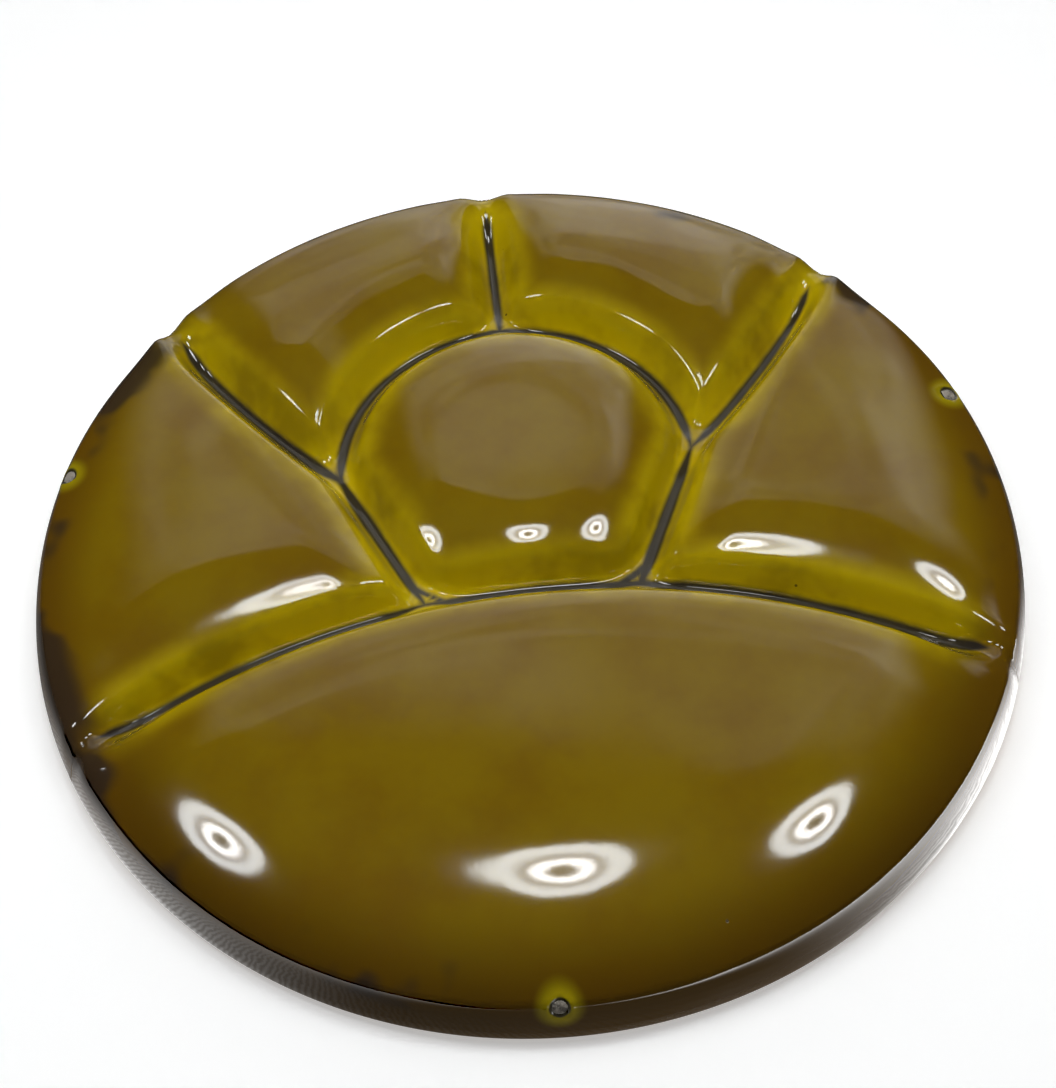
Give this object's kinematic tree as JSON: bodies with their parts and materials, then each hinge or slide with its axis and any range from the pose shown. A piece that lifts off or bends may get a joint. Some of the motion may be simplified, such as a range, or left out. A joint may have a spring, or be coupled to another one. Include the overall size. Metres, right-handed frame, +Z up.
{
  "type": "divided appetizer plate",
  "caption": "Round glazed earthenware serving plate, parted by low rounded ribs into a large front well, a round centre well and smaller wells along the rim.",
  "frame": {"origin": "bottom centre of the plate: on its middle, in the plane of the well bottoms that it stands on", "axes": "+Z up, out of the wells; -Y towards the large well; +X to the right for someone who has the large well nearest to them"},
  "size_m": [0.25, 0.25, 0.02],
  "materials": {
    "clay": "bare fired earthenware",
    "back_glaze": "glossy olive-brown glaze",
    "face_glaze": "glossy olive-brown glaze"
  },
  "bodies": {
    "root": {"clay_body": "clay", "back_glaze": "back_glaze", "face_glaze": "face_glaze"}
  },
  "joints": []
}
